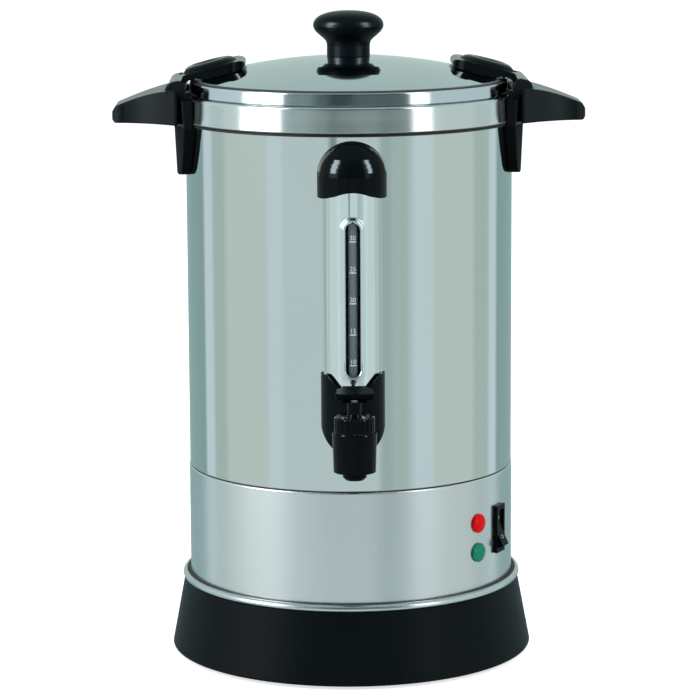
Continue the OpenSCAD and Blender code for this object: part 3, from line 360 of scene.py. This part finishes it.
def softStuff(name, tone, gloss, spread=0.12, skinScale=300):  # rubber, mica, ceramic and acetal
    finish = Finish(name)
    skin = finish.noise(skinScale, 3)
    cloud = finish.noise(softLook["cloudScale"])
    finish.set("Base Color", finish.mixColor(cloud, tone, shade(tone, 1 - spread)))
    finish.set("Roughness", gloss + skin * softLook["skinRough"])
    finish.bump(skin, softLook["skinBump"], softLook["skinDepth"])
    return finish.material


gaugeLook = {
    "axis": -0.1149,  # y of the tube's axis
    "halfStrip": 0.0029, "stripFade": 0.0003, "frontFade": 0.002,
    # both tones are painted light: grey for the bore seen through the glass, dark for the shade
    # at the tube's sides and back
    "grey": (0.085, 0.120, 0.130), "pale": 1.5, "dark": (0.004, 0.006, 0.007),
    "gloss": 0.06, "hazeScale": 120, "hazeStretch": (1, 1, 0.2), "hazeRough": 0.06,
}


def gaugeTube(name):  # glass painted dark, a painted shade, with a grey strip down its front, a painted view of the bore through the glass
    finish = Finish(name, IOR=1.47, Coat_Weight=0.6, Coat_Roughness=0.02, Specular_IOR_Level=0.4)
    half, fade, axis = gaugeLook["halfStrip"], gaugeLook["stripFade"], gaugeLook["axis"]
    strip = finish.between(finish.along("X").calc("ABSOLUTE"), half - fade, half + fade, 1, 0)
    front = finish.between(finish.along("Y"), axis - gaugeLook["frontFade"], axis, 1, 0)
    haze = finish.noise(gaugeLook["hazeScale"], 2, gaugeLook["hazeStretch"])
    grey = finish.mixColor(haze, gaugeLook["grey"], shade(gaugeLook["grey"], gaugeLook["pale"]))
    # painted shade at the sides and back, painted view of the bore on the front
    finish.set("Base Color", finish.mixColor(strip * front, gaugeLook["dark"], grey))
    finish.set("Roughness", gaugeLook["gloss"] + haze * gaugeLook["hazeRough"])
    return finish.material


lensLook = {
    "facetScale": 520, "facetTone": 0.9,
    "gloss": 0.22, "facetRough": 0.1, "facetBump": 0.05, "facetDepth": 0.0003,
}


def lampLens(name, deep, bright, glow):
    finish = Finish(name, Coat_Weight=0.12, Coat_Roughness=0.08, Specular_IOR_Level=0.06,
                    Emission_Strength=glow)
    facets = finish.add("ShaderNodeTexVoronoi", {"feature": "F1"},
                        {"Vector": finish.place, "Scale": lensLook["facetScale"]})
    body = finish.mixColor(facets * lensLook["facetTone"], bright, deep)
    finish.set("Base Color", body)
    finish.set("Emission Color", body)
    finish.set("Roughness", lensLook["gloss"] + facets * lensLook["facetRough"])
    finish.bump(facets, lensLook["facetBump"], lensLook["facetDepth"])
    return finish.material


# glow is painted light: the ink shines a little by itself, though it is no lamp
inkLook = {"rough": 0.5, "glow": 0.25, "speckScale": 2200, "dull": 0.85}


def printedInk(name, tone):
    # painted light: a faint glow in the ink's own colour
    finish = Finish(name, Roughness=inkLook["rough"], Emission_Strength=inkLook["glow"])
    speck = finish.noise(inkLook["speckScale"])
    ink = finish.mixColor(speck, tone, shade(tone, inkLook["dull"]))
    finish.set("Base Color", ink)
    finish.set("Emission Color", ink)
    return finish.material


finishes = {  # by material slot
    "base_black": mouldedBlack("baseBlack", (0.0022, 0.0036, 0.0045), gloss=0.34, grain=0.05,
                               wear=0.08, shine=0.05, edge=0.0004),
    "gloss_black": mouldedBlack("glossBlack", (0.00035, 0.00055, 0.00065), gloss=0.09, grain=0.03,
                                wear=0.05, shine=0.06),
    "foot_rubber": softStuff("footRubber", (0.012, 0.012, 0.013), 0.7),
    # painted shade: a dark line on the vessel just above its seam with the lower band
    "mirror_steel": polishedSteel("mirrorSteel", (0.63, 0.665, 0.66), gloss=0.035, smudge=0.07,
                                  lines=0.03, joint=(0.1265, 0.1284)),
    "satin_steel": satinSteel("satinSteel"),
    "chrome_shield": drawnChrome("chromeShield"),
    "inner_steel": plainMetal("innerSteel", (0.55, 0.57, 0.57), 0.28),
    "brew_aluminium": plainMetal("brewAluminium", (0.72, 0.73, 0.74), 0.3),
    "screw_steel": plainMetal("screwSteel", (0.60, 0.61, 0.62), 0.22, 700),
    "heater_metal": plainMetal("heaterMetal", (0.33, 0.32, 0.31), 0.4, 500),
    "heater_mica": softStuff("heaterMica", (0.55, 0.47, 0.30), 0.45, 0.25, 180),
    "block_ceramic": softStuff("blockCeramic", (0.78, 0.76, 0.69), 0.5, 0.06),
    "gauge_tube": gaugeTube("gaugeTube"),
    "white_seal": softStuff("whiteSeal", (0.78, 0.78, 0.75), 0.45, 0.06),
    "red_seal": softStuff("redSeal", (0.42, 0.03, 0.02), 0.45, 0.1),
    "acetal": softStuff("acetal", (0.74, 0.74, 0.70), 0.3, 0.05),
    "spring_steel": plainMetal("springSteel", (0.62, 0.63, 0.64), 0.2, 900),
    "red_lens": lampLens("redLens", (0.26, 0.0005, 0.0006), (0.50, 0.001, 0.001), 0.55),
    "green_lens": lampLens("greenLens", (0.003, 0.085, 0.05), (0.012, 0.20, 0.115), 0.35),
}

ownFinish = {  # nodes whose finish isn't that of their slot
    "rim_collar": brushedCollar("rimCollar"),
    "trim_ring": rolledRing("trimRing"),
    "tap_lever": mouldedBlack("leverBlack", (0.00030, 0.00048, 0.00056), gloss=0.36, grain=0.05,
                              wear=0.06, shine=0.004),
    "lid_knob": mouldedBlack("knobBlack", (0.00040, 0.00065, 0.00080), gloss=0.25, grain=0.04,
                             wear=0.06, shine=0.05),
    "left_handle": handleBlack("handleBlack"),
    # painted shade: the pins' steel is made dark for the shaded recess at the hinge
    "latch_pins": plainMetal("pinSteel", (0.10, 0.11, 0.11), 0.35, 700),
    # painted shade: a dark line at the lid's edge, between the dome and the skirt
    "lid_shell": polishedSteel("lidSteel", (0.60, 0.655, 0.68), gloss=0.04, smudge=0.05,
                               lines=0.03, joint=(0.3830, 0.3845), rim=(0.098, 0.107, 0.11)),
}
ownFinish["right_handle"] = ownFinish["left_handle"]


def dressNodes():
    # every CAD node gets its own finish, or that of its slot
    for part in frame["record"]["subparts"]:
        node = nodes[part["node"]]
        node.data.materials.clear()
        node.data.materials.append(ownFinish.get(part["node"], finishes[part["material_slot"]]))


weldDistance = 0.000002
cutDistance = 0.000001


def newPiece(name, shape, material, body):
    # a finished piece from a bmesh, with its place in the mesh
    bmesh.ops.remove_doubles(shape, verts=shape.verts, dist=weldDistance)
    bmesh.ops.recalc_face_normals(shape, faces=shape.faces)
    mesh = bpy.data.meshes.new(name)
    shape.to_mesh(mesh)
    shape.free()
    mesh.materials.append(material)
    piece = bpy.data.objects.new(name, mesh)
    bpy.context.scene.collection.objects.link(piece)
    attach(piece, body)
    return piece


def drawText(body, size):  # flat text in X and Z, centred on X
    words = bpy.data.curves.new("words", "FONT")
    words.body = body
    words.size = size
    words.align_x = "CENTER"
    holder = bpy.data.objects.new("words", words)
    bpy.context.scene.collection.objects.link(holder)
    flat = holder.to_mesh()
    shape = bmesh.new()
    shape.from_mesh(flat)
    holder.to_mesh_clear()
    bpy.data.objects.remove(holder)
    bpy.data.curves.remove(words)
    bmesh.ops.rotate(shape, verts=shape.verts, matrix=Matrix.Rotation(pi / 2, 3, "X"))
    return shape


def addBar(shape, width, height, centre):  # a flat upright bar in X and Z
    bar = bmesh.ops.create_grid(shape, x_segments=6, y_segments=6, size=0.5)["verts"]
    bmesh.ops.scale(shape, verts=bar, vec=(width, height, 1))
    bmesh.ops.rotate(shape, verts=bar, matrix=Matrix.Rotation(pi / 2, 3, "X"))
    bmesh.ops.translate(shape, verts=bar, vec=centre)


def layOn(shape, depth, thick, cuts=()):
    # cuts the flat drawing at places along X, lays it on a curved face and gives it a thickness
    for place in cuts:
        bmesh.ops.bisect_plane(shape, geom=[*shape.verts, *shape.edges, *shape.faces],
                               dist=cutDistance, plane_co=(place, 0, 0), plane_no=(1, 0, 0))
    for spot in shape.verts:
        spot.co.y = depth(spot.co)
    bmesh.ops.recalc_face_normals(shape, faces=shape.faces)
    made = bmesh.ops.extrude_face_region(shape, geom=shape.faces[:])["geom"]
    front = [item for item in made if isinstance(item, bmesh.types.BMVert)]
    bmesh.ops.translate(shape, verts=front, vec=(0, -thick, 0))


gaugeMarks = {
    "cups": {10: 0.2122, 15: 0.2319, 20: 0.2518, 25: 0.2714, 30: 0.2911},  # height of each tick
    "digit": 0.0029, "digitShare": 0.7,  # a digit's height, and its share of the font's size
    "bar": (0.0045, 0.0007),  # width and height of a tick
    "lift": 0.0011,  # from the tick to the foot of its number
    "tube": 0.00452,  # radius of the tube
    "strips": 8, "stripWidth": 0.0003,  # cuts to each side of the middle
    "thick": 0.00006,
    "tone": (0.56, 0.64, 0.67),
}


def printGauge():
    whole = bmesh.new()
    for cups, height in gaugeMarks["cups"].items():
        shape = drawText(str(cups), gaugeMarks["digit"] / gaugeMarks["digitShare"])
        bmesh.ops.translate(shape, verts=shape.verts, vec=(0, 0, height + gaugeMarks["lift"]))
        addBar(shape, *gaugeMarks["bar"], (0, 0, height))
        mark = bpy.data.meshes.new("mark")
        shape.to_mesh(mark)
        shape.free()
        whole.from_mesh(mark)
        bpy.data.meshes.remove(mark)
    axis, radius, strips = gaugeLook["axis"], gaugeMarks["tube"], gaugeMarks["strips"]
    layOn(whole, lambda spot: axis - sqrt(radius ** 2 - spot.x ** 2), gaugeMarks["thick"],
          [step * gaugeMarks["stripWidth"] for step in range(-strips, strips + 1)])
    newPiece("gaugeMarks", whole, printedInk("gaugePrint", gaugeMarks["tone"]), "urn")


slotBead = {
    "half": 0.0060, "foot": 0.20955, "top": 0.29865,  # its middle line, centres of its round ends
    "radius": 0.0011, "face": (-0.103, 0.0195),  # axis and radius of the face that it runs on
    "sides": 10, "runSteps": 2, "turnSteps": 18,
}


def beadSlot():
    # a rolled bead round the sight slot: up, over the top, down and round the foot
    shape = bmesh.new()
    half, foot, top = slotBead["half"], slotBead["foot"], slotBead["top"]
    bmesh.ops.create_circle(shape, segments=slotBead["sides"], radius=slotBead["radius"])
    bmesh.ops.translate(shape, verts=shape.verts, vec=(half, 0, foot))

    def run(edges, height):
        steps = slotBead["runSteps"]
        for step in range(steps):
            made = bmesh.ops.extrude_edge_only(shape, edges=edges)["geom"]
            spots = [item for item in made if isinstance(item, bmesh.types.BMVert)]
            bmesh.ops.translate(shape, verts=spots, vec=(0, 0, height / steps))
            edges = [item for item in made if isinstance(item, bmesh.types.BMEdge)
                     and all(spot in spots for spot in item.verts)]
        return edges

    def turn(edges, centre):
        made = bmesh.ops.spin(shape, geom=edges, axis=(0, 1, 0), cent=(0, 0, centre), angle=-pi,
                              steps=slotBead["turnSteps"])
        return [item for item in made["geom_last"] if isinstance(item, bmesh.types.BMEdge)]

    over = turn(run(shape.edges[:], top - foot), top)
    turn(run(over, foot - top), foot)
    axis, radius = slotBead["face"]
    for spot in shape.verts:
        spot.co.y += axis - sqrt(radius ** 2 - spot.co.x ** 2)
    bead = newPiece("slotBead", shape, finishes["chrome_shield"], "urn")
    for face in bead.data.polygons:
        face.use_smooth = True


slotClip = {  # foot of its stem, and sizes
    "foot": (0, -0.1231, 0.3042),
    "stem": (0.0013, 0.0006, 0.0018), "bar": (0.0036, 0.0006, 0.0008),
    "edge": 0.00015,
}


def clipSlot():
    # the small clip that holds the tube at the top of its slot
    shape = bmesh.new()
    foot, stem, bar = Vector(slotClip["foot"]), slotClip["stem"], slotClip["bar"]
    for size, up in ((stem, 0), (bar, stem[2])):
        block = bmesh.ops.create_cube(shape, size=1)["verts"]
        bmesh.ops.scale(shape, verts=block, vec=size)
        bmesh.ops.translate(shape, verts=block, vec=foot + Vector((0, 0, up)))
    bmesh.ops.bevel(shape, geom=shape.edges[:], affect="EDGES", offset=slotClip["edge"],
                    segments=2, profile=0.5, material=-1)
    newPiece("slotClip", shape, finishes["gloss_black"], "urn")


rockerMarks = {
    "bearing": 62.8, "pivot": (0, -0.1074, 0.0903), "tilt": -12,  # angles in degrees
    "hollow": (-0.0304, 0.0281),  # centre and radius of the rocker's hollow front
    "line": (0.0006, 0.0024, 0.0066),  # width, height, and how far up from the pivot
    "ring": (0.00125, 0.00085, -0.0064),  # outer and inner radius, and how far up
    "ringSteps": 28,
    "thick": 0.00005, "proud": 0.00003,  # of the print, and how far its back stands out
    "tone": (0.30, 0.33, 0.34),
}


def printRocker():
    shape = bmesh.new()
    width, height, up = rockerMarks["line"]
    addBar(shape, width, height, (0, 0, up))
    outer, inner, up = rockerMarks["ring"]
    steps = rockerMarks["ringSteps"]
    rim = bmesh.ops.create_circle(shape, segments=steps, radius=outer)["verts"]
    hole = bmesh.ops.create_circle(shape, segments=steps, radius=inner)["verts"]
    loose = [edge for edge in shape.edges if not edge.link_faces]
    bmesh.ops.bridge_loops(shape, edges=loose)
    bmesh.ops.rotate(shape, verts=rim + hole, matrix=Matrix.Rotation(pi / 2, 3, "X"))
    bmesh.ops.translate(shape, verts=rim + hole, vec=(0, 0, up))
    centre, radius = rockerMarks["hollow"]
    layOn(shape, lambda spot: centre + sqrt(radius ** 2 - spot.z ** 2) - rockerMarks["proud"],
          rockerMarks["thick"])
    place = (Matrix.Rotation(radians(rockerMarks["bearing"]), 4, "Z")
             @ Matrix.Translation(rockerMarks["pivot"])
             @ Matrix.Rotation(radians(rockerMarks["tilt"]), 4, "X"))
    bmesh.ops.transform(shape, verts=shape.verts, matrix=place)
    newPiece("rockerMarks", shape, printedInk("rockerPrint", rockerMarks["tone"]), "power_rocker")


def coilSpring():
    # the tap's spring, made again as a piece with its own mesh, and the CAD spring hidden
    shape = bmesh.new()
    shape.from_mesh(nodes["tap_spring"].data)
    spring = newPiece("coilSpring", shape, finishes["spring_steel"], "urn")
    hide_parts("tap_spring")
    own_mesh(spring)


cameraPlace = {
    "spot": (-0.035, -2.047, 0.5508),
    "turn": -0.98, "tilt": -9.67, "roll": -0.30,  # degrees left of +Y, up, and round the view
    "lens": 159.17, "sensor": 36,  # millimetres
    "reach": 60,
}


def placeCamera():
    data = bpy.data.cameras.new("photoCamera")
    data.lens = cameraPlace["lens"]
    data.sensor_width = cameraPlace["sensor"]
    data.sensor_fit = "HORIZONTAL"
    data.clip_end = cameraPlace["reach"]
    camera = bpy.data.objects.new("photoCamera", data)
    turn = Matrix.Rotation(radians(cameraPlace["turn"]), 4, "Z")
    tilt = Matrix.Rotation(radians(90 + cameraPlace["tilt"]), 4, "X")
    roll = Matrix.Rotation(radians(cameraPlace["roll"]), 4, "Z")
    camera.matrix_world = Matrix.Translation(cameraPlace["spot"]) @ turn @ tilt @ roll
    bpy.context.scene.collection.objects.link(camera)
    bpy.context.scene.camera = camera


# what polished metal sees round the room: upright cards of cloth and paper, from one azimuth to
# another, in degrees from the urn's front, right is +
cardTones = {
    "dark": (0.32, 0.47, 0.47), "dim": (0.53, 0.66, 0.63), "warm": (0.68, 0.79, 0.75),
    "pale": (0.67, 0.79, 0.80), "cool": (0.73, 0.86, 0.90), "grey": (0.47, 0.59, 0.57),
    "shade": (0.24, 0.32, 0.32), "line": (0.22, 0.32, 0.34), "black": (0.04, 0.06, 0.06),
    "deep": (0.10, 0.14, 0.14),
}
roomCards = {
    "low": [(-180, -127, "dark"), (-124, -115, "cool"), (-112, -101, "dim"), (-96, -62, "warm"),
            (-59, -50, "cool"), (-47, -26, "pale"), (-22, 18, "pale"), (22, 27, "grey"),
            (30, 39, "dim"), (46, 58, "cool"), (62, 94, "warm"), (99, 113, "dim"),
            (117, 124, "cool"), (128, 180, "dark")],
    "high": [(-180, -150, "dim"), (-110, -84, "cool"), (-45, -30, "shade"), (-22, -17, "deep"),
             (-12, -2, "black"), (6, 42, "deep"), (63, 110, "pale"), (150, 180, "dim")],
}
roomEdge = {
    "elevation": -3.2, "blur": 1.6,  # where the low cards end and the high ones begin
    "ceiling": (30, 62), "ceilingTone": (0.47, 0.60, 0.62),
}
softLights = [  # azimuth and elevation ranges in degrees, and brightness
    {"azimuth": (-81, -50), "elevation": (-3.2, 44), "tone": (4.6, 4.8, 4.8)},
    {"azimuth": (44, 57), "elevation": (-3.2, 44), "tone": (3.7, 3.9, 3.9)},
    {"azimuth": (-15, -10), "elevation": (-9.2, -4), "tone": cardTones["line"]},
]
softEdge = {  # from where to where each edge of a soft light fades, in degrees
    "left": (-2, 3), "right": (-1, 2), "foot": (-0.8, 0.8), "top": (-3, 3),
}
worldLight = {"tone": (0.96, 1, 1), "strength": 0.55}  # on all that isn't gloss or glass


def studioWorld():
    world = bpy.data.worlds.new("studio")
    world.use_nodes = True
    bpy.context.scene.world = world
    world.cycles.sampling_method = "NONE"
    sheet = NodeSheet(world.node_tree)
    ray = sheet.add("ShaderNodeTexCoord", out="Generated")
    direction = sheet.add("ShaderNodeSeparateXYZ", None, {0: ray})
    perRadian = 180 / pi
    azimuth = direction.calc("ARCTAN2", direction.also("Y") * -1) * perRadian
    elevation = direction.also("Z").calc("ARCSINE") * perRadian
    turn = azimuth / 360 + 0.5

    def cards(name):
        stops = [(angle / 360 + 0.5, cardTones[tone])
                 for start, end, tone in roomCards[name] for angle in (start, end)]
        return sheet.add("ShaderNodeValToRGB", {"stops": stops}, {0: turn})

    def edgeAt(value, place, fade, *ends):
        return sheet.between(value, place + fade[0], place + fade[1], *ends)

    upper = edgeAt(elevation, roomEdge["elevation"], (-roomEdge["blur"], roomEdge["blur"]))
    seen = sheet.mixColor(upper, cards("low"), cards("high"))
    ceiling = sheet.between(elevation, *roomEdge["ceiling"])
    seen = sheet.mixColor(ceiling, seen, roomEdge["ceilingTone"])
    for light in softLights:
        left, right = light["azimuth"]
        foot, top = light["elevation"]
        mask = (edgeAt(azimuth, left, softEdge["left"])
                * edgeAt(azimuth, right, softEdge["right"], 1, 0)
                * edgeAt(elevation, foot, softEdge["foot"])
                * edgeAt(elevation, top, softEdge["top"], 1, 0))
        seen = sheet.mixColor(mask, seen, light["tone"])
    path = sheet.add("ShaderNodeLightPath", out="Is Camera Ray")
    plain = sheet.add("ShaderNodeBackground", None,
                      {0: worldLight["tone"], 1: worldLight["strength"]})
    white = sheet.add("ShaderNodeBackground", None, {0: (1, 1, 1), 1: 1})
    room = sheet.add("ShaderNodeBackground", None, {0: seen, 1: 1})
    direct = sheet.add("ShaderNodeMixShader", None,
                       {0: path + path.also("Is Transmission Ray"), 1: plain, 2: white})
    everything = sheet.add("ShaderNodeMixShader", None,
                           {0: path.also("Is Glossy Ray"), 1: direct, 2: room})
    sheet.add("ShaderNodeOutputWorld", None, {0: everything})


lampAim = (0, 0, 0.2)
lampDistance = 2.6
softLamps = {  # azimuth and elevation in degrees, side in metres, power in watts
    "keyLight": {"azimuth": -60, "elevation": 34, "side": 1.5, "power": 42},
    "fillLight": {"azimuth": 54, "elevation": 34, "side": 1.3, "power": 34},
    "topLight": {"azimuth": 170, "elevation": 68, "side": 1.6, "power": 24},
}
windowLamps = {  # tall lamps that light the black mouldings alone
    "leftWindow": {"azimuth": -64, "elevation": 26, "side": 0.88, "tall": 1.64, "power": 410},
    "rightWindow": {"azimuth": 61, "elevation": 26, "side": 0.60, "tall": 1.64, "power": 280},
}
windowTone = (0.72, 0.91, 1)


def hangLamp(name, look):
    data = bpy.data.lights.new(name, "AREA")
    data.size = look["side"]
    data.energy = look["power"]
    lamp = bpy.data.objects.new(name, data)
    azimuth, elevation = radians(look["azimuth"]), radians(look["elevation"])
    away = Vector((sin(azimuth) * cos(elevation), -cos(azimuth) * cos(elevation), sin(elevation)))
    lamp.location = Vector(lampAim) + away * lampDistance
    lamp.rotation_euler = away.to_track_quat("Z", "Y").to_euler()
    lamp.visible_camera = False
    bpy.context.scene.collection.objects.link(lamp)
    return lamp


def placeLights():
    for name, look in softLamps.items():
        hangLamp(name, look).visible_glossy = False
    mouldings = bpy.data.collections.new("mouldings")
    for part in frame["record"]["subparts"]:
        if part["material_slot"] == "gloss_black":
            mouldings.objects.link(nodes[part["node"]])
    for name, look in windowLamps.items():
        lamp = hangLamp(name, look)
        lamp.data.shape, lamp.data.size_y = "RECTANGLE", look["tall"]
        lamp.data.color = windowTone
        lamp.light_linking.receiver_collection = mouldings


floorLook = {
    "reach": 14, "rough": 0.9, "grainScale": 3,
    "pale": (0.62, 0.63, 0.63), "dim": (0.6, 0.61, 0.61),
    "glow": 0.7,  # added for the camera alone, so that the floor looks nearly white
}


def layFloor():
    mesh = bpy.data.meshes.new("studioFloor")
    shape = bmesh.new()
    bmesh.ops.create_grid(shape, x_segments=4, y_segments=4, size=floorLook["reach"])
    shape.to_mesh(mesh)
    shape.free()
    floor = bpy.data.objects.new("studioFloor", mesh)
    bpy.context.scene.collection.objects.link(floor)
    floor.visible_glossy = False
    finish = Finish("paleFloor", Roughness=floorLook["rough"])
    grain = finish.noise(floorLook["grainScale"])
    finish.set("Base Color", finish.mixColor(grain, floorLook["pale"], floorLook["dim"]))
    camera = finish.add("ShaderNodeLightPath", out="Is Camera Ray")
    glow = finish.add("ShaderNodeEmission", None, {0: (1, 1, 1), 1: camera * floorLook["glow"]})
    both = finish.add("ShaderNodeAddShader", None, {0: finish.shader, 1: glow})
    finish.plug(finish.output.inputs[0], both)
    mesh.materials.append(finish.material)


dressNodes()
print("finishes on", len(nodes), "nodes")
printGauge()
beadSlot()
clipSlot()
printRocker()
print("gauge and rocker marked")
coilSpring()
print("spring coiled")
placeCamera()
studioWorld()
placeLights()
layFloor()
bpy.context.scene.view_settings.view_transform = "Standard"
print("camera, lights and floor placed")
